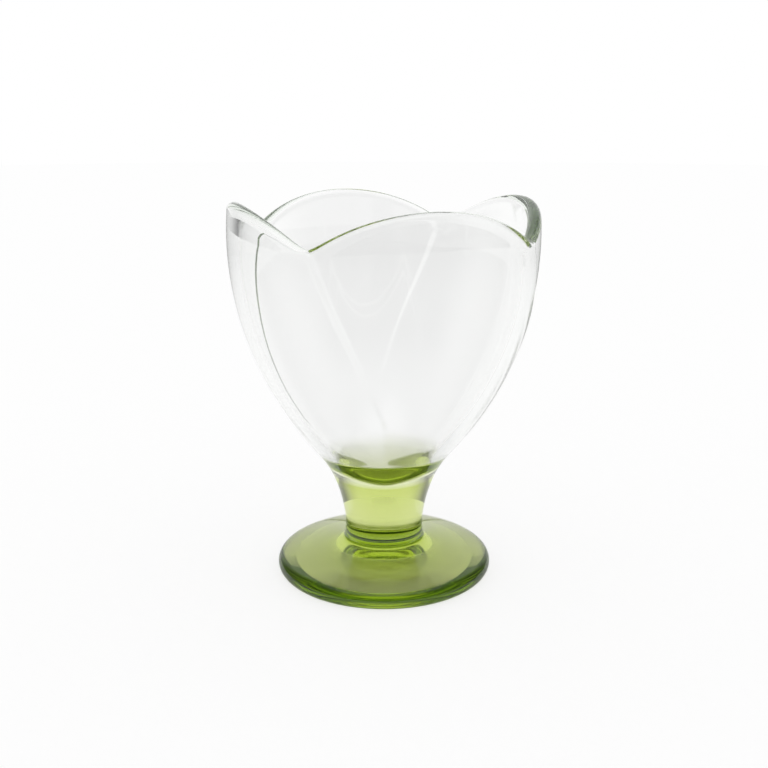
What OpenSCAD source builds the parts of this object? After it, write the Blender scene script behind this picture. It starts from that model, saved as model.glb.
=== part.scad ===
// Tulip parfait glass: a clear pressed bowl of overlapping petals, a flared
// green stem and a round green foot, fused one on the other.
// Millimetres, +Z up, standing on Z = 0 with the axis of the glass on Z.
// Four petals face +X, +Y, -X and -Y, and each laps over the next one round.

/* [Foot] */
// Diameter of the foot
foot_d = 70; // [60:1:85]
// Height of the foot where the stem stands on it
foot_h = 12; // [10:0.5:15]
// Thickness of the foot's half-round edge
foot_edge = 6; // [4:0.5:7]
// Fall of the foot's top where it runs into the edge, in degrees
foot_fall = 14; // [8:1:20]
// Width of the flat ring that the glass stands on
ring_w = 4; // [3:0.5:10]
// Depth of the hollow under the foot
hollow_depth = 3; // [0.5:0.5:4]

/* [Stem] */
// Height of the stem, from the foot to its flared rim
stem_h = 28; // [22:0.5:40]
// Diameter of the stem at its lower end
stem_base_d = 25.8; // [25.4:0.2:30]
// Diameter of the stem at its waist
stem_waist_d = 25; // [20:0.5:25]
// Height of the waist above the foot
stem_waist_h = 3; // [2:0.5:6]
// Diameter of the stem's flared rim
stem_top_d = 42.2; // [38:0.2:48]
// Lean of the flare at the rim, from upright, in degrees
stem_flare = 39; // [32:1:44]
// Depth of the dish in which the bowl's round bottom sits
seat_depth = 8.5; // [6:0.5:10]

/* [Bowl] */
// Diameter of the bowl where it is widest
bowl_d = 97; // [85:1:110]
// Height of the bowl above the stem's rim, to the petal tips
bowl_h = 81; // [74:0.5:95]
// Height of the widest place above the stem's rim
belly_h = 69; // [60:0.5:78]
// Length of the belly's upright pull, which makes it fuller
belly_pull = 40; // [30:1:48]
// Thickness of the wall where it leaves the stem
wall_base = 3.7; // [3.4:0.1:5.5]
// Thickness of the wall at the belly
wall_belly = 4.4; // [3:0.1:5]
// Thickness of the rounded lip
lip = 4.8; // [3.8:0.1:5.6]
// Height over which the wall thickens to the lip
lip_h = 24; // [12:1:30]
// Thickness of the bowl's bottom on the axis
bottom = 1.8; // [1.6:0.1:4]

/* [Petals] */
// Number of petals
petals = 4; // [4:1:6]
// Angle by which a petal runs on past the valley and over the next one, in degrees
petal_lap = 25.5; // [18:0.5:28]
// Height above the stem's rim where a petal's edge has run its whole lap
petal_waist_h = 18; // [14:0.5:28]
// Fullness of the petal's arched tip, as the power of its curve
petal_fullness = 2.45; // [2:0.05:3]
// Rounding of the valley between two petals, in degrees
valley_round = 3; // [1.5:0.5:5]
// Height of a petal's edge over the petal that it laps
petal_step = 0.6; // [0.3:0.05:1]

/* [Hidden] */

round_fn = 120;
edge_steps = 12;
curve_steps = 16;
seat_steps = 6;
floor_steps = 5;
wall_steps = 20;
inner_steps = 12;
rim_steps = 6;
petal_steps = 20;
search_steps = 24;

// Foot and stem
foot_r = foot_d / 2;
edge_r = foot_edge / 2;
ring_out_r = foot_r - edge_r;
hollow_r = ring_out_r - ring_w;
stem_base_r = stem_base_d / 2;
stem_waist_r = stem_waist_d / 2;
stem_top_r = stem_top_d / 2;
stem_top_z = foot_h + stem_h;
waist_z = foot_h + stem_waist_h;
flare_dir = [sin(stem_flare), cos(stem_flare)];
fillet_drop = 1.6;
top_reach = 16;
base_pull = 1.6;
waist_pull = 2.5;
flare_pull = 12;

// Bowl
bowl_r = bowl_d / 2;
belly_z = stem_top_z + belly_h;
tip_z = stem_top_z + bowl_h;
seat_z = stem_top_z - seat_depth;
floor_z = seat_z + bottom;
start_pull = 5;
floor_reach = 4;
floor_pull = 3;

// Petals
petal_pitch = 360 / petals;
valley = petal_pitch / 2;
petal_spread = valley + petal_lap;
petal_waist_z = stem_top_z + petal_waist_h;
petal_rise = tip_z - petal_waist_z;
columns = petals * petal_steps;

// A cubic curve through four [radius, height] points, and its direction
function curve(p, t) =
    pow(1 - t, 3) * p[0] + 3 * pow(1 - t, 2) * t * p[1]
    + 3 * (1 - t) * t * t * p[2] + pow(t, 3) * p[3];
function along(p, t) =
    let (d = pow(1 - t, 2) * (p[1] - p[0]) + 2 * (1 - t) * t * (p[2] - p[1])
        + t * t * (p[3] - p[2]))
    d / norm(d);
function side(d) = [d[1], -d[0]];
function curve_points(p, steps) = [for (i = [0:steps]) curve(p, i / steps)];
function ease(x) = let (c = min(max(x, 0), 1)) c * c * (3 - 2 * c);

// The dish that the stem and the bowl share: a cap of a sphere
seat_r = (stem_top_r * stem_top_r + seat_depth * seat_depth) / (2 * seat_depth);
seat_half = asin(stem_top_r / seat_r);
function seat_point(i) =
    let (a = seat_half * i / seat_steps)
    [seat_r * sin(a), seat_z + seat_r * (1 - cos(a))];

// The foot: a flat ring, a half-round edge and a top that sweeps up to the stem
function edge_point(a) = [foot_r - edge_r + edge_r * sin(a), edge_r - edge_r * cos(a)];
function foot_profile() =
    let (
        arc_end = 180 - foot_fall,
        rim = edge_point(arc_end),
        top = [
            rim,
            rim + top_reach * [-cos(foot_fall), sin(foot_fall)],
            [stem_base_r, foot_h - fillet_drop],
            [stem_base_r, foot_h]
        ],
        hollow_ball = (hollow_r * hollow_r + hollow_depth * hollow_depth) / (2 * hollow_depth),
        hollow_half = asin(hollow_r / hollow_ball)
    )
    concat(
        [for (i = [0:edge_steps])
            let (a = hollow_half * i / edge_steps)
            [hollow_ball * sin(a), hollow_depth - hollow_ball * (1 - cos(a))]],
        [for (i = [0:edge_steps]) edge_point(arc_end * i / edge_steps)],
        [for (i = [1:curve_steps]) curve(top, i / curve_steps)],
        [[0, foot_h]]
    );

// The stem: a waist just over the foot, flaring up to the dish
function stem_profile() =
    let (
        base = [stem_base_r, foot_h],
        waist = [stem_waist_r, waist_z],
        rim = [stem_top_r, stem_top_z],
        low = [
            base,
            base + [-(stem_base_r - stem_waist_r) / 2, base_pull / 2],
            waist - [0, base_pull],
            waist
        ],
        flare = [waist, waist + [0, waist_pull], rim - flare_pull * flare_dir, rim]
    )
    concat(
        [[0, foot_h]],
        curve_points(low, edge_steps),
        [for (i = [1:curve_steps]) curve(flare, i / curve_steps)],
        [for (i = [seat_steps - 1:-1:0]) seat_point(i)]
    );

// The bowl's outside, from the stem's rim to its widest place; past that the
// same curve carries on, leaning in towards the petal tips
bowl_curve = [
    [stem_top_r, stem_top_z],
    [stem_top_r, stem_top_z] + start_pull * flare_dir,
    [bowl_r, belly_z - belly_pull],
    [bowl_r, belly_z]
];
function curve_at_height(z, low = 0, high = 1.5, left = search_steps) =
    let (mid = (low + high) / 2)
    left == 0 ? mid
    : curve(bowl_curve, mid)[1] < z ? curve_at_height(z, mid, high, left - 1)
    : curve_at_height(z, low, mid, left - 1);
function wall_at(t, end) =
    let (below_lip = curve(bowl_curve, end)[1] - curve(bowl_curve, t)[1])
    wall_base + (wall_belly - wall_base) * min(t, 1)
    + (lip - wall_belly) * pow(max(1 - below_lip / lip_h, 0), 2);

// Petals. A column of the bowl is named by its angle where it meets the rim.
function from_centre(a) = abs(a - petal_pitch * round(a / petal_pitch));
function past_valley(a) =
    let (p = (a - valley) / petal_pitch)
    (p - floor(p)) * petal_pitch;

// Height of a petal's arched outline at an angle from its centre
function petal_top(a) =
    let (soft = valley - sqrt(pow(valley - a, 2) + valley_round * valley_round))
    petal_waist_z + petal_rise * pow(1 - pow(soft / petal_spread, 2), 1 / petal_fullness);
valley_z = petal_top(valley);

// Below the valleys the columns lean, so that a petal's edge runs along one
function lean(z) = petal_lap * min(max((valley_z - z) / (valley_z - petal_waist_z), 0), 1);

// How far a petal lies below its neighbour's edge: the whole step just past that
// edge, and nothing at its own far edge, where it laps the next petal in turn.
// The step fades out at the foot of the petals.
function step_at(a, z) =
    let (past = past_valley(a))
    petal_step * ease((z - stem_top_z) / petal_waist_h)
    * ease(past / (petal_pitch / petal_steps)) * (1 - ease(past / petal_pitch));

function rim_end(a) = curve_at_height(petal_top(from_centre(a)) - lip / 2);

function turned(p, a) = [p[0] * cos(a), p[0] * sin(a), p[1]];
function outer_point(a, t) =
    let (p = curve(bowl_curve, t))
    p - step_at(a, p[1]) * side(along(bowl_curve, t));
function inner_point(t, end) =
    curve(bowl_curve, t) - wall_at(t, end) * side(along(bowl_curve, t));

// The rim is rounded over from the outer wall to the inner wall
function rim_point(f, t, a) =
    let (
        out = outer_point(f, t),
        in = inner_point(t, t),
        up = along(bowl_curve, t),
        half = norm(out - in) / 2
    )
    (out + in) / 2 + (out - in) / 2 * cos(a) + half * up * sin(a);

module bowl() {
    all = [0:columns - 1];
    at = [for (j = all) 360 * j / columns];
    end = [for (j = all) rim_end(at[j])];
    floor_end = inner_point(0, 1);
    floor_curve = [
        [0, floor_z],
        [floor_reach, floor_z],
        floor_end - floor_pull * flare_dir,
        floor_end
    ];
    rings = concat(
        [for (i = [1:seat_steps])
            [for (j = all) turned(seat_point(i), at[j] + lean(stem_top_z))]],
        [for (i = [1:wall_steps])
            [for (j = all)
                let (p = outer_point(at[j], end[j] * i / wall_steps))
                turned(p, at[j] + lean(p[1]))]],
        [for (i = [1:rim_steps - 1])
            [for (j = all) turned(rim_point(at[j], end[j], 180 * i / rim_steps), at[j])]],
        [for (i = [inner_steps:-1:1])
            [for (j = all) turned(inner_point(end[j] * i / inner_steps, end[j]), at[j])]],
        [for (i = [floor_steps:-1:1])
            [for (j = all) turned(curve(floor_curve, i / floor_steps), at[j])]]
    );
    points = concat([[0, 0, seat_z]], [for (ring = rings) each ring], [[0, 0, floor_z]]);
    last = len(points) - 1;
    faces = concat(
        [for (j = all) [0, 1 + j, 1 + (j + 1) % columns]],
        [for (i = [0:len(rings) - 2]) for (j = all)
            let (a = 1 + i * columns, b = a + columns, k = (j + 1) % columns)
            each [[a + j, b + j, b + k], [a + j, b + k, a + k]]],
        [for (j = all)
            let (a = last - columns)
            [last, a + (j + 1) % columns, a + j]]
    );
    color([0.9, 0.94, 0.93, 0.5]) polyhedron(points, faces);
}

module stem() {
    color([0.68, 0.78, 0.36]) rotate_extrude($fn = round_fn) polygon(stem_profile());
}

module foot() {
    color([0.46, 0.58, 0.17]) rotate_extrude($fn = round_fn) polygon(foot_profile());
}

bowl();
stem();
foot();
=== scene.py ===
import bisect
import math

import bmesh
import bpy
from mathutils import Matrix, Vector


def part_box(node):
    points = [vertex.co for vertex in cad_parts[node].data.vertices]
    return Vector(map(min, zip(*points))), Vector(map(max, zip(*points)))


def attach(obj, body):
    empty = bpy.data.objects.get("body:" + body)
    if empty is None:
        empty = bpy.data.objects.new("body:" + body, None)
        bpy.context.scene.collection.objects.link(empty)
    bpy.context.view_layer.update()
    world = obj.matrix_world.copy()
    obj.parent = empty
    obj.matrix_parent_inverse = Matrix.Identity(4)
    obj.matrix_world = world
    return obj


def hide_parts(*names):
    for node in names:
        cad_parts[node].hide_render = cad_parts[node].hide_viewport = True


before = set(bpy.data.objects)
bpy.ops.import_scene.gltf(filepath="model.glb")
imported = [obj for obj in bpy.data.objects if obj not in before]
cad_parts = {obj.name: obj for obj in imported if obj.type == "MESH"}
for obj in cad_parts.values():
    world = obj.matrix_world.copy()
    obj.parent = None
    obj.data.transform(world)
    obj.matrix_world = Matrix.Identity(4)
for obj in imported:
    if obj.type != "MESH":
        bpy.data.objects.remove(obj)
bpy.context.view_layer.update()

MM = 0.001
FULL_TURN = 2 * math.pi

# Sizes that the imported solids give
FOOT_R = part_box("foot")[1][0]
FOOT_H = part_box("foot")[1][2]
STEM_TOP_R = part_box("stem")[1][0]
STEM_TOP_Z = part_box("stem")[1][2]

# Foot, as the solids have it
FOOT_EDGE_R = 3 * MM
FOOT_FALL = math.radians(14)
RING_W = 4 * MM
HOLLOW_DEPTH = 3 * MM
FOOT_TOP_REACH = 16 * MM
FILLET_DROP = 1.6 * MM

# Stem, as the solids have it
STEM_BASE_R = 12.9 * MM
STEM_WAIST_R = 12.5 * MM
STEM_WAIST_H = 3 * MM
STEM_FLARE = math.radians(39)
BASE_PULL = 1.6 * MM
WAIST_PULL = 2.5 * MM
FLARE_PULL = 12 * MM
SEAT_DEPTH = 8.5 * MM

# Bowl, as the solids have it
BOWL_R = 48.5 * MM
BOWL_H = 81 * MM
BELLY_H = 69 * MM
BELLY_PULL = 40 * MM
START_PULL = 5 * MM
WALL_BASE = 3.7 * MM
WALL_BELLY = 4.4 * MM
LIP = 4.8 * MM
LIP_H = 24 * MM
BOTTOM = 1.8 * MM
FLOOR_REACH = 4 * MM
FLOOR_PULL = 3 * MM
TIP_Z = STEM_TOP_Z + BOWL_H

# Petals, as the solids have them but with a sharper step, and with angles in degrees
PETAL_PITCH = 90
VALLEY = PETAL_PITCH / 2
PETAL_LAP = 25.5
PETAL_SPREAD = VALLEY + PETAL_LAP
PETAL_WAIST_H = 18 * MM
PETAL_WAIST_Z = STEM_TOP_Z + PETAL_WAIST_H
PETAL_FULLNESS = 2.45
VALLEY_ROUND = 3
PETAL_STEP = 0.6 * MM
PETAL_STEP_W = 2.2 * MM
PRESS_H = 6 * MM
PRESS_Z = STEM_TOP_Z + PRESS_H

# The parting line of the two-part mould, along the centres of opposite petals
SEAM_ANGLE = math.radians(0)
SEAM_HALF_W = 0.35 * MM
SEAM_HEIGHT = 0.012 * MM
SEAM_CLEAR = 4 * MM

# Mesh fineness
DOUBLINGS = 4
BOWL_STEPS = 32
STEM_STEPS = 12
FOOT_STEPS = 18
WALL_ROWS = 60
RIM_ROWS = 14
EDGE_ROWS = 20
CURVE_ROWS = 32
SEAT_ROWS = 14
WELD = 0.001 * MM
ON_SEAM = 2 * WELD
JOINT_GAP = 0.01 * MM

# How far the bowl's curve is followed past its end at 1, and how finely it is searched
SEARCH_END = 1.5
SEARCH_HALVINGS = 40
SAMPLE_END = 1.3
SAMPLE_ROWS = 600

# Glass, and how often light may turn in it or pass a joint
GLASS_IOR = 1.5
CLEAR_TINT = (0.45, 0.6, 0.4, 1)
CLEAR_DENSITY = 4
GREEN_TINT = (0.736, 0.818, 0.12, 1)
STEM_DENSITY = 55
# The foot is the same green glass as the stem, tinted about twice as deep: the extra depth is painted
# shade, standing in for light that goes long ways round inside the foot
FOOT_DENSITY_WITH_SHADE = 105
RIPPLE_SCALE = 45
RIPPLE_DETAIL = 1.0
RIPPLE_DEPTH = 0.015 * MM
GLASS_BOUNCES = 64
JOINT_BOUNCES = 16

# The camera of the photograph: its place, pitch and lens
CAMERA_AZIMUTH = math.radians(-18.2)
CAMERA_REACH = 319.8 * MM
CAMERA_HEIGHT = 145.9 * MM
CAMERA_PITCH = math.radians(14.65)
CAMERA_LENS = 48.49
SENSOR_WIDTH = 36
CLIP_START = 10 * MM


# Curves and profiles, as [radius, height] points

def curve(points, t):
    """A cubic curve through four control points."""
    a, b, c, d = points
    u = 1 - t
    return u ** 3 * a + 3 * u * u * t * b + 3 * u * t * t * c + t ** 3 * d


def along(points, t):
    """The direction of that curve."""
    a, b, c, d = points
    u = 1 - t
    return (u * u * (b - a) + 2 * u * t * (c - b) + t * t * (d - c)).normalized()


def side(direction):
    """The direction square to another, on its outer side."""
    return Vector((direction.y, -direction.x))


def rows(count):
    """Even places from 0 to 1."""
    return [i / count for i in range(count + 1)]


def ease(x):
    """A soft rise from 0 to 1."""
    x = min(max(x, 0), 1)
    return x * x * (3 - 2 * x)


FLARE_DIR = Vector((math.sin(STEM_FLARE), math.cos(STEM_FLARE)))
STEM_RIM = Vector((STEM_TOP_R, STEM_TOP_Z))
SEAT_Z = STEM_TOP_Z - SEAT_DEPTH
SEAT_BALL = (STEM_TOP_R ** 2 + SEAT_DEPTH ** 2) / (2 * SEAT_DEPTH)
BOWL_CURVE = (
    STEM_RIM,
    STEM_RIM + START_PULL * FLARE_DIR,
    Vector((BOWL_R, STEM_TOP_Z + BELLY_H - BELLY_PULL)),
    Vector((BOWL_R, STEM_TOP_Z + BELLY_H)),
)


def seat_run():
    """The dish between stem and bowl, from the axis out to the stem's rim."""
    half = math.asin(STEM_TOP_R / SEAT_BALL)
    return [
        Vector((SEAT_BALL * math.sin(half * t), SEAT_Z + SEAT_BALL * (1 - math.cos(half * t))))
        for t in rows(SEAT_ROWS)
    ]


def drawn_back(run, gap):
    """A joint face set off by a hair from the one it is fused to, except at its rim."""
    return [p + Vector((0, gap)) for p in run[:-1]] + run[-1:]


def hollow_run():
    """The shallow hollow under the foot."""
    hollow_r = FOOT_R - FOOT_EDGE_R - RING_W
    ball = (hollow_r ** 2 + HOLLOW_DEPTH ** 2) / (2 * HOLLOW_DEPTH)
    half = math.asin(hollow_r / ball)
    return [
        Vector((ball * math.sin(half * t), HOLLOW_DEPTH - ball * (1 - math.cos(half * t))))
        for t in rows(EDGE_ROWS)
    ]


def foot_run():
    """The flat ring that the foot stands on, its half-round edge and its top, which
    sweeps up to the stem."""
    ring_out = FOOT_R - FOOT_EDGE_R
    ring = [Vector((ring_out - RING_W * (1 - t), 0)) for t in rows(EDGE_ROWS)]
    sweep = math.pi - FOOT_FALL
    edge = [
        Vector((ring_out + FOOT_EDGE_R * math.sin(sweep * t), FOOT_EDGE_R * (1 - math.cos(sweep * t))))
        for t in rows(EDGE_ROWS)
    ]
    down = Vector((-math.cos(FOOT_FALL), math.sin(FOOT_FALL)))
    top = (
        edge[-1],
        edge[-1] + FOOT_TOP_REACH * down,
        Vector((STEM_BASE_R, FOOT_H - FILLET_DROP)),
        Vector((STEM_BASE_R, FOOT_H)),
    )
    return ring + edge[1:] + [curve(top, t) for t in rows(CURVE_ROWS)][1:]


def stem_run():
    """The stem's outside, from the foot to its flared rim."""
    base = Vector((STEM_BASE_R, FOOT_H))
    waist = Vector((STEM_WAIST_R, FOOT_H + STEM_WAIST_H))
    low = (
        base,
        base + Vector((-(STEM_BASE_R - STEM_WAIST_R) / 2, BASE_PULL / 2)),
        waist - Vector((0, BASE_PULL)),
        waist,
    )
    flare = (waist, waist + Vector((0, WAIST_PULL)), STEM_RIM - FLARE_PULL * FLARE_DIR, STEM_RIM)
    return [curve(low, t) for t in rows(EDGE_ROWS)] + [curve(flare, t) for t in rows(CURVE_ROWS)][1:]


def curve_at_height(z):
    """Where on the bowl's curve a height lies."""
    low, high = 0.0, SEARCH_END
    for _ in range(SEARCH_HALVINGS):
        middle = (low + high) / 2
        if curve(BOWL_CURVE, middle).y < z:
            low = middle
        else:
            high = middle
    return low


def wall_at(t, end):
    """The wall's thickness, which grows again to a lip at the curve's end."""
    below_lip = curve(BOWL_CURVE, end).y - curve(BOWL_CURVE, t).y
    plain = WALL_BASE + (WALL_BELLY - WALL_BASE) * min(t, 1)
    return plain + (LIP - WALL_BELLY) * max(1 - below_lip / LIP_H, 0) ** 2


def inner_point(t, end):
    """A point of the inside, one wall in from the bowl's curve."""
    return curve(BOWL_CURVE, t) - wall_at(t, end) * side(along(BOWL_CURVE, t))


def bowl_runs():
    """The bowl's outside, rounded rim, and inside with the floor, as if the rim were level
    at the petal tips."""
    end = curve_at_height(TIP_Z - LIP / 2)
    outside = [curve(BOWL_CURVE, end * t) for t in rows(WALL_ROWS)]
    inside = [inner_point(end * t, end) for t in rows(WALL_ROWS)]
    middle = (outside[-1] + inside[-1]) / 2
    across = (outside[-1] - inside[-1]) / 2
    up = along(BOWL_CURVE, end) * across.length
    rim = [middle + across * math.cos(math.pi * t) + up * math.sin(math.pi * t) for t in rows(RIM_ROWS)]
    floor_z = SEAT_Z + BOTTOM
    floor = (
        Vector((0, floor_z)),
        Vector((FLOOR_REACH, floor_z)),
        inside[0] - FLOOR_PULL * FLARE_DIR,
        inside[0],
    )
    bottom = [curve(floor, t) for t in rows(CURVE_ROWS)]
    return outside, rim, inside[::-1] + bottom[-2::-1]


# Meshes. A face is polished, or a joint fused to the next piece.

POLISHED, JOINT = range(2)


def revolve(bm, run, kind, sector_steps):
    """Spins an open run of points through one sector, doubles the sector until it goes
    round the axis, and adds the skin to a mesh, with its faces marked as one kind."""
    skin = bmesh.new()
    verts = [skin.verts.new((p.x, 0, p.y)) for p in run]
    edges = [skin.edges.new(pair) for pair in zip(verts, verts[1:])]
    angle = FULL_TURN / 2 ** DOUBLINGS
    bmesh.ops.spin(
        skin, geom=verts + edges, cent=(0, 0, 0), axis=(0, 0, 1),
        angle=angle, steps=sector_steps, use_merge=False,
    )
    for _ in range(DOUBLINGS):
        copy = bmesh.ops.duplicate(skin, geom=skin.verts[:] + skin.edges[:] + skin.faces[:])["geom"]
        moved = [part for part in copy if isinstance(part, bmesh.types.BMVert)]
        bmesh.ops.rotate(skin, verts=moved, cent=(0, 0, 0), matrix=Matrix.Rotation(angle, 3, "Z"))
        angle *= 2
    for face in skin.faces:
        face.material_index = kind
    mesh = bpy.data.meshes.new("run")
    skin.to_mesh(mesh)
    skin.free()
    bm.from_mesh(mesh)
    bpy.data.meshes.remove(mesh)


def close(bm):
    """Welds the runs into one closed skin with its faces outwards and a crease round each joint."""
    bmesh.ops.remove_doubles(bm, verts=bm.verts, dist=WELD)
    bmesh.ops.recalc_face_normals(bm, faces=bm.faces)
    for face in bm.faces:
        face.smooth = True
    for edge in bm.edges:
        edge.smooth = len({face.material_index == JOINT for face in edge.link_faces}) == 1


def piece(bm, name, node, material):
    """Makes a finished mesh the piece that stands for a node. Its one material reads
    the kind of each face as an attribute, so that light goes in and out by the same glass."""
    mesh = bpy.data.meshes.new(name)
    joint = bm.faces.layers.float.new("joint")
    for face in bm.faces:
        face[joint] = float(face.material_index == JOINT)
        face.material_index = 0
    bm.to_mesh(mesh)
    bm.free()
    mesh.materials.append(material)
    obj = bpy.data.objects.new(name, mesh)
    bpy.context.scene.collection.objects.link(obj)
    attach(obj, "root")
    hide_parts(node)


def disc_run(radius, z):
    """A flat joint face, from the axis out."""
    return [Vector((radius * t, z)) for t in rows(SEAT_ROWS)]


def make_foot(material):
    bm = bmesh.new()
    for run in (hollow_run(), foot_run()):
        revolve(bm, run, POLISHED, FOOT_STEPS)
    revolve(bm, disc_run(STEM_BASE_R, FOOT_H), JOINT, FOOT_STEPS)
    close(bm)
    piece(bm, "foot_glass", "foot", material)


def make_stem(material):
    bm = bmesh.new()
    revolve(bm, stem_run(), POLISHED, STEM_STEPS)
    revolve(bm, drawn_back(disc_run(STEM_BASE_R, FOOT_H), JOINT_GAP), JOINT, STEM_STEPS)
    revolve(bm, drawn_back(seat_run(), -JOINT_GAP), JOINT, STEM_STEPS)
    close(bm)
    piece(bm, "stem_glass", "stem", material)


def outer_radius_by_height():
    """The bowl's outer radius as a function of height, read off its curve."""
    samples = [curve(BOWL_CURVE, SAMPLE_END * t) for t in rows(SAMPLE_ROWS)]
    heights = [p.y for p in samples]

    def radius(z):
        i = min(max(bisect.bisect(heights, z), 1), len(samples) - 1)
        a, b = samples[i - 1], samples[i]
        return a.x + (b.x - a.x) * (z - a.y) / (b.y - a.y)

    return radius


def petal_top(angle):
    """Height of a petal's arched outline at an angle from its centre."""
    soft = VALLEY - math.hypot(VALLEY - angle, VALLEY_ROUND)
    arch = (1 - (soft / PETAL_SPREAD) ** 2) ** (1 / PETAL_FULLNESS)
    return PETAL_WAIST_Z + (TIP_Z - PETAL_WAIST_Z) * arch


def lean(z):
    """How far a petal's edge has run on over the next petal, at a height below the valley."""
    valley_z = petal_top(VALLEY)
    return PETAL_LAP * min(max((valley_z - z) / (valley_z - PETAL_WAIST_Z), 0), 1)


def press_petals(bm):
    """Shapes the plain tulip into petals: draws the rim down into valleys, leans the
    outside along the petal edges, and sets each petal back by a step behind the edge
    that laps it. The inside stays smooth."""
    radius = outer_radius_by_height()
    for v in bm.verts:
        r = math.hypot(v.co.x, v.co.y)
        if r < WELD:
            continue
        z = v.co.z
        outside = radius(z)
        skin = 1 - min(max((outside - r) / (LIP / 2), 0), 1)
        around = math.degrees(math.atan2(v.co.y, v.co.x))
        from_centre = abs(around - PETAL_PITCH * round(around / PETAL_PITCH))
        z += (petal_top(from_centre) - TIP_Z) * ease((z - PRESS_Z) / (TIP_Z - PRESS_Z))
        r += radius(z) - outside
        past_edge = (around - VALLEY) % PETAL_PITCH
        behind = ease(math.radians(past_edge) * r / PETAL_STEP_W) * (1 - ease(past_edge / PETAL_PITCH))
        fade = ease((z - STEM_TOP_Z) / PETAL_WAIST_H)
        r -= PETAL_STEP * skin * fade * behind
        turn = math.radians(around + lean(z) * skin)
        v.co = Vector((r * math.cos(turn), r * math.sin(turn), z))


def raise_seam(bm):
    """Cuts three lines along the mould's parting plane and lifts the middle one on the outside."""
    normal = Vector((-math.sin(SEAM_ANGLE), math.cos(SEAM_ANGLE), 0))
    radius = outer_radius_by_height()
    for offset in (-SEAM_HALF_W, 0, SEAM_HALF_W):
        bmesh.ops.bisect_plane(
            bm, geom=bm.verts[:] + bm.edges[:] + bm.faces[:],
            dist=WELD, plane_co=normal * offset, plane_no=normal,
        )
    for v in bm.verts:
        r = math.hypot(v.co.x, v.co.y)
        outside = radius(v.co.z)
        on_skin = v.co.z > STEM_TOP_Z and r > outside - LIP / 2
        if on_skin and abs(v.co.dot(normal)) < ON_SEAM:
            top = TIP_Z - LIP - SEAM_CLEAR
            fade = ease((v.co.z - STEM_TOP_Z) / PETAL_WAIST_H) * ease((top - v.co.z) / SEAM_CLEAR)
            v.co.xy += v.co.xy.normalized() * SEAM_HEIGHT * fade


def make_bowl(material):
    bm = bmesh.new()
    for run in bowl_runs():
        revolve(bm, run, POLISHED, BOWL_STEPS)
    revolve(bm, seat_run(), JOINT, BOWL_STEPS)
    bmesh.ops.remove_doubles(bm, verts=bm.verts, dist=WELD)
    press_petals(bm)
    raise_seam(bm)
    close(bm)
    piece(bm, "bowl_glass", "bowl", material)


# Materials

class Wire:
    """One output of a shader tree. Sums and products of wires and numbers add Math nodes."""

    def __init__(self, tree, socket=None):
        self.tree = tree
        self.socket = socket

    def node(self, kind, settings=None, inputs=None, output=0):
        """Adds any node: its settings first, then the values or wires of its sockets."""
        made = self.tree.nodes.new(kind)
        for name, value in (settings or {}).items():
            setattr(made, name, value)
        for name, value in (inputs or {}).items():
            if isinstance(value, Wire):
                self.tree.links.new(value.socket, made.inputs[name])
            else:
                made.inputs[name].default_value = value
        return Wire(self.tree, made.outputs[output] if len(made.outputs) else None)

    def math(self, operation, a, b):
        return self.node("ShaderNodeMath", {"operation": operation}, {0: a, 1: b})

    def __add__(self, other):
        return self.math("ADD", self, other)

    def __radd__(self, other):
        return self.math("ADD", other, self)

    def __sub__(self, other):
        return self.math("SUBTRACT", self, other)

    def __rsub__(self, other):
        return self.math("SUBTRACT", other, self)

    def __mul__(self, other):
        return self.math("MULTIPLY", self, other)

    def __rmul__(self, other):
        return self.math("MULTIPLY", other, self)


def new_tree(name):
    material = bpy.data.materials.new(name)
    material.use_nodes = True
    material.node_tree.nodes.clear()
    return material, Wire(material.node_tree)


def pressed_glass(name, tint, density):
    """Fire-polished pressed glass: clear through, tinted by its depth, with a faint mould
    ripple. Light goes straight on through a fused joint."""
    material, wire = new_tree(name)
    joint = wire.node("ShaderNodeAttribute", {"attribute_name": "joint"}, None, "Fac")
    place = wire.node("ShaderNodeTexCoord", None, None, "Object")
    ripple = wire.node("ShaderNodeTexNoise", None, {
        "Vector": place, "Scale": RIPPLE_SCALE, "Detail": RIPPLE_DETAIL,
    })
    normal = wire.node("ShaderNodeBump", None, {
        "Height": ripple, "Distance": RIPPLE_DEPTH, "Strength": 1.0,
    })
    glass = wire.node("ShaderNodeBsdfPrincipled", None, {
        "Base Color": (1, 1, 1, 1),
        "Roughness": 0.0,
        "IOR": GLASS_IOR,
        "Transmission Weight": 1.0,
        "Alpha": 1 - joint,
        "Normal": normal,
    })
    depth = wire.node("ShaderNodeVolumeAbsorption", None, {"Color": tint, "Density": density})
    wire.node("ShaderNodeOutputMaterial", None, {"Surface": glass, "Volume": depth})
    return material


# Stage and light

FLOOR_R = 3.0
FLOOR_SIDES = 64
FLOOR_GAP = 0.02 * MM

# The level ways from the glass to the camera and to the camera's right, for bearings
FRONT =(math.sin(CAMERA_AZIMUTH), -math.cos(CAMERA_AZIMUTH), 0)
SIDE = (math.cos(CAMERA_AZIMUTH), math.sin(CAMERA_AZIMUTH), 0)

# The floor's white, how much of it glows where it is seen, and where that starts through glass
FLOOR_WHITE = 0.96
FLOOR_GLOW = 0.75
CLEAR_NEAR = 0.05
CLEAR_FAR = 0.09

# Painted shade: the far floor's paper is darker where glass mirrors it
FLOOR_FAR_SHADE = 0.3
FAR_START = 0.12
FAR_FULL = 0.8

# Painted shade: a slightly dim band on the floor behind the middle of the glass, seen through glass,
# which brings out the petals' laps
FLOOR_MIDDLE_SHADE = 0.915
MIDDLE_START = 0.12
MIDDLE_FULL = 0.4
MIDDLE_INNER = 0.11
MIDDLE_OUTER = 0.22

# The shade under the front of the foot
FLOOR_SHADE = 0.62
SHADE_START = 16 * MM
SHADE_FULL = 21 * MM
SHADE_SIDE = 0.5
SHADE_FRONT = 0.9

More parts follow.
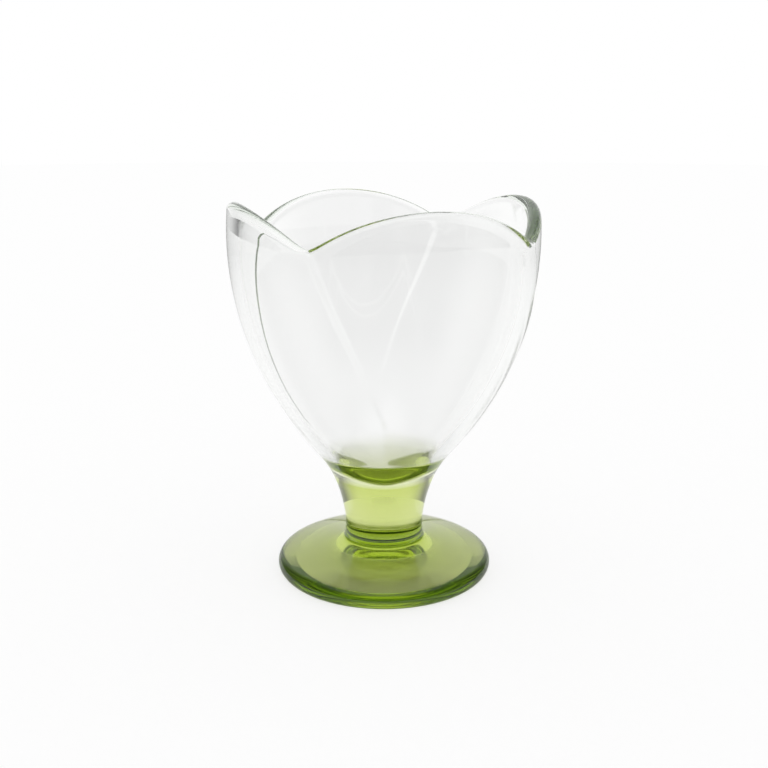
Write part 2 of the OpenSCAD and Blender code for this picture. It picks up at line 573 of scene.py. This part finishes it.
# The room: a white strip behind the glass and a white top, and dim elsewhere
AMBIENT = 1.0
ROOM_DIM = 0.15
STRIP_INNER = -0.97
STRIP_OUTER = -0.6
TOP_START = 0.75
TOP_FULL = 0.92
HALF_BOUNCE = 0.5


class Rays:
    """How a ray came to the stage: seen from the camera or through glass, or mirrored in it."""

    def __init__(self, wire):
        paths = wire.node("ShaderNodeLightPath").socket.node.outputs
        camera, glossy, through, bounces = (
            Wire(wire.tree, paths[name])
            for name in ("Is Camera Ray", "Is Glossy Ray", "Is Transmission Ray", "Diffuse Depth")
        )
        unscattered = wire.math("LESS_THAN", bounces, HALF_BOUNCE)
        self.camera = camera
        self.seen = wire.math("MAXIMUM", camera, wire.math("MAXIMUM", glossy, through)) * unscattered
        self.mirrored = self.seen * glossy * (1 - through)
        self.through = self.seen * through


def ramp(wire, value, start, stop, first=0.0, last=1.0):
    """Goes softly from the first level to the last while a value goes from start to stop."""
    return wire.node("ShaderNodeMapRange", {"interpolation_type": "SMOOTHSTEP"}, {
        "Value": value, "From Min": start, "From Max": stop, "To Min": first, "To Max": last,
    })


def dot(wire, a, b):
    """The cosine between two directions."""
    return wire.node("ShaderNodeVectorMath", {"operation": "DOT_PRODUCT"}, {0: a, 1: b}, "Value")


def white_paper():
    """The floor's paper. It glows for the camera and through glass, and keeps its shadow. Its colour
    also holds painted shade: darker far off where glass mirrors it, and a dim band behind the glass and
    a shade under the front of the foot where it is seen through glass.
    """
    material, wire = new_tree("floor_white")
    rays = Rays(wire)
    place = wire.node("ShaderNodeTexCoord", None, None, "Object")
    away = wire.node("ShaderNodeVectorMath", {"operation": "LENGTH"}, {0: place}, "Value")
    bearing = wire.node("ShaderNodeVectorMath", {"operation": "NORMALIZE"}, {0: place})
    aside = wire.math("ABSOLUTE", dot(wire, bearing, SIDE), 0.0)
    far = ramp(wire, away, FAR_START, FAR_FULL)
    middle = ramp(wire, aside, MIDDLE_INNER, MIDDLE_OUTER, 1.0, 0.0)
    middle = middle * ramp(wire, away, MIDDLE_START, MIDDLE_FULL)
    shade = ramp(wire, away, SHADE_START, SHADE_FULL)
    shade = shade * ramp(wire, dot(wire, bearing, FRONT), SHADE_SIDE, SHADE_FRONT)
    # Painted shade in the paper's colour: darker far off, for rays that glass mirrors
    white = FLOOR_WHITE - rays.mirrored * far * (FLOOR_WHITE - FLOOR_FAR_SHADE)
    # Painted shade: a dim band behind the middle of the glass, seen through glass, where the glow is
    # also turned off
    white = white - rays.through * middle * (FLOOR_WHITE - FLOOR_MIDDLE_SHADE)
    # Painted shade on the paper under the front of the foot, seen through glass
    white = white - rays.through * shade * (FLOOR_WHITE - FLOOR_SHADE)
    clear = ramp(wire, away, CLEAR_NEAR, CLEAR_FAR)
    shown = rays.camera + rays.through * clear * (1 - middle)
    paper = wire.node("ShaderNodeBsdfDiffuse", None, {"Color": white})
    glow = wire.node("ShaderNodeEmission", None, {"Strength": 1.0})
    both = wire.node("ShaderNodeMixShader", None, {0: shown * FLOOR_GLOW, 1: paper, 2: glow})
    wire.node("ShaderNodeOutputMaterial", None, {"Surface": both})
    return material


def make_floor(material):
    bm = bmesh.new()
    bmesh.ops.create_circle(bm, cap_ends=True, radius=FLOOR_R, segments=FLOOR_SIDES)
    bmesh.ops.translate(bm, verts=bm.verts, vec=(0, 0, -FLOOR_GAP))
    mesh = bpy.data.meshes.new("floor")
    bm.to_mesh(mesh)
    bm.free()
    mesh.materials.append(material)
    floor = bpy.data.objects.new("floor", mesh)
    bpy.context.scene.collection.objects.link(floor)


def make_world():
    """The studio's light: even on the object, and shaded where glass shows the room."""
    world = bpy.data.worlds.new("studio")
    bpy.context.scene.world = world
    world.use_nodes = True
    world.node_tree.nodes.clear()
    wire = Wire(world.node_tree)
    rays = Rays(wire)
    toward = wire.node("ShaderNodeTexCoord", None, None, "Generated")
    height = wire.node("ShaderNodeSeparateXYZ", None, {"Vector": toward}, "Z")
    level = wire.node("ShaderNodeVectorMath", {"operation": "MULTIPLY"}, {0: toward, 1: (1, 1, 0)})
    level = wire.node("ShaderNodeVectorMath", {"operation": "NORMALIZE"}, {0: level})
    room = ramp(wire, dot(wire, level, FRONT), STRIP_INNER, STRIP_OUTER, 1.0, ROOM_DIM)
    top = ramp(wire, height, TOP_START, TOP_FULL)
    room = room + wire.math("MAXIMUM", top, rays.camera) * (1 - room)
    strength = AMBIENT + rays.seen * (room - AMBIENT)
    back = wire.node("ShaderNodeBackground", None, {"Color": (1, 1, 1, 1), "Strength": strength})
    wire.node("ShaderNodeOutputWorld", None, {"Surface": back})


def make_camera():
    data = bpy.data.cameras.new("camera")
    data.lens = CAMERA_LENS
    data.sensor_width = SENSOR_WIDTH
    data.clip_start = CLIP_START
    camera = bpy.data.objects.new("camera", data)
    camera.location = (
        CAMERA_REACH * math.sin(CAMERA_AZIMUTH),
        -CAMERA_REACH * math.cos(CAMERA_AZIMUTH),
        CAMERA_HEIGHT,
    )
    camera.rotation_euler = (math.pi / 2 - CAMERA_PITCH, 0, CAMERA_AZIMUTH)
    bpy.context.scene.collection.objects.link(camera)
    bpy.context.scene.camera = camera


scene = bpy.context.scene
scene.view_settings.view_transform = "Standard"
scene.cycles.max_bounces = GLASS_BOUNCES
scene.cycles.glossy_bounces = GLASS_BOUNCES
scene.cycles.transmission_bounces = GLASS_BOUNCES
scene.cycles.transparent_max_bounces = JOINT_BOUNCES

make_foot(pressed_glass("green_glass_foot", GREEN_TINT, FOOT_DENSITY_WITH_SHADE))
make_stem(pressed_glass("green_glass_stem", GREEN_TINT, STEM_DENSITY))
make_bowl(pressed_glass("clear_glass", CLEAR_TINT, CLEAR_DENSITY))
make_floor(white_paper())
make_world()
make_camera()
